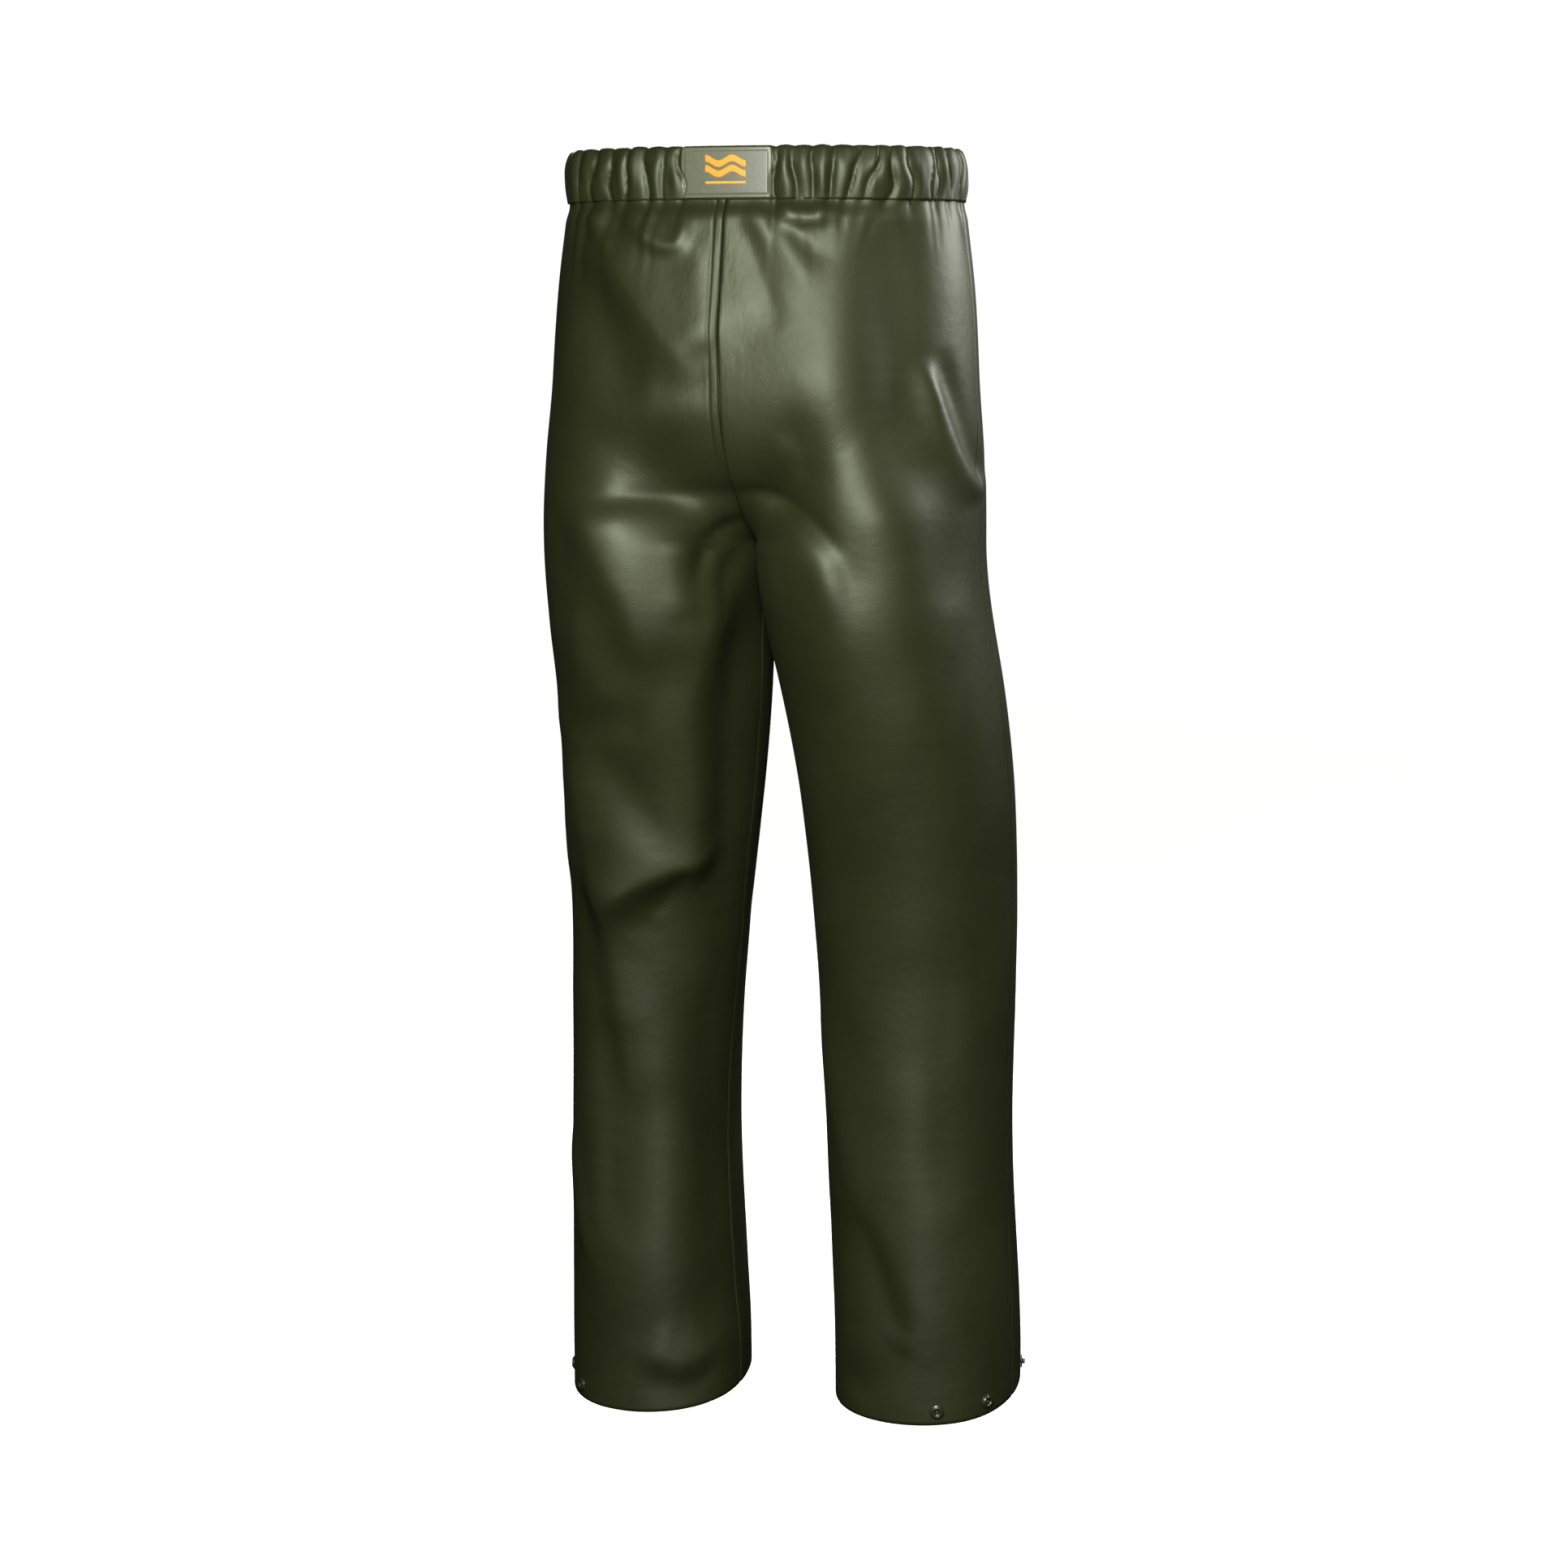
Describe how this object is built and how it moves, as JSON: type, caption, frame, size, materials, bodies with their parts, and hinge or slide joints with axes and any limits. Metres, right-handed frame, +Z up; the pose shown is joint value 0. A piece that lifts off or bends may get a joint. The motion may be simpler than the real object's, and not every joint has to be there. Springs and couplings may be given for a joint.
{
  "type": "waterproof trousers",
  "caption": "Waterproof pull-on trousers of coated stretch fabric with a gathered elastic waistband, a back label patch and snap-adjusted hems.",
  "frame": {"origin": "centre of the waist opening, level with the top of the waistband", "axes": "+Z up along the legs towards the waist, -Y the front of the trousers, +X the wearer's left"},
  "size_m": [0.4112, 0.2626, 1.103],
  "materials": {
    "coated_fabric": "satin",
    "fabric_backing": "matte",
    "elastic": "matte",
    "seam_tape": "satin",
    "label": "satin",
    "label_mark": "satin",
    "snap_metal": "satin"
  },
  "bodies": {
    "seat": {"waistband_casing": "coated_fabric", "waist_elastic": "elastic", "label_patch": "label", "label_wave_1": "label_mark", "label_wave_2": "label_mark", "label_bar": "label_mark", "centre_back_tape": "seam_tape", "centre_front_tape": "seam_tape", "left_back_panel_upper": "coated_fabric", "left_front_panel_upper": "coated_fabric", "left_side_tape_upper": "seam_tape", "left_inseam_tape_upper": "seam_tape", "right_back_panel_upper": "coated_fabric", "right_front_panel_upper": "coated_fabric", "right_side_tape_upper": "seam_tape", "right_inseam_tape_upper": "seam_tape"},
    "left_leg": {"left_back_panel_lower": "coated_fabric", "left_front_panel_lower": "coated_fabric", "left_side_tape_lower": "seam_tape", "left_inseam_tape_lower": "seam_tape", "left_hem_facing": "fabric_backing", "left_snap_socket_1": "snap_metal", "left_snap_socket_2": "snap_metal", "left_snap_stud": "snap_metal", "left_snap_cap_1": "snap_metal", "left_snap_cap_2": "snap_metal", "left_snap_cap_3": "snap_metal"},
    "right_leg": {"right_back_panel_lower": "coated_fabric", "right_front_panel_lower": "coated_fabric", "right_side_tape_lower": "seam_tape", "right_inseam_tape_lower": "seam_tape", "right_hem_facing": "fabric_backing", "right_snap_socket_1": "snap_metal", "right_snap_socket_2": "snap_metal", "right_snap_stud": "snap_metal", "right_snap_cap_1": "snap_metal", "right_snap_cap_2": "snap_metal", "right_snap_cap_3": "snap_metal"}
  },
  "joints": [
    {"name": "left_leg_swing", "type": "hinge", "parent": "seat", "child": "left_leg", "pos_m": [0.1, -0.036, -0.385], "axis": [-1, 0, 0], "range_deg": [-20, 45]},
    {"name": "right_leg_swing", "type": "hinge", "parent": "seat", "child": "right_leg", "pos_m": [-0.11, -0.036, -0.385], "axis": [-1, 0, 0], "range_deg": [-20, 45]}
  ]
}
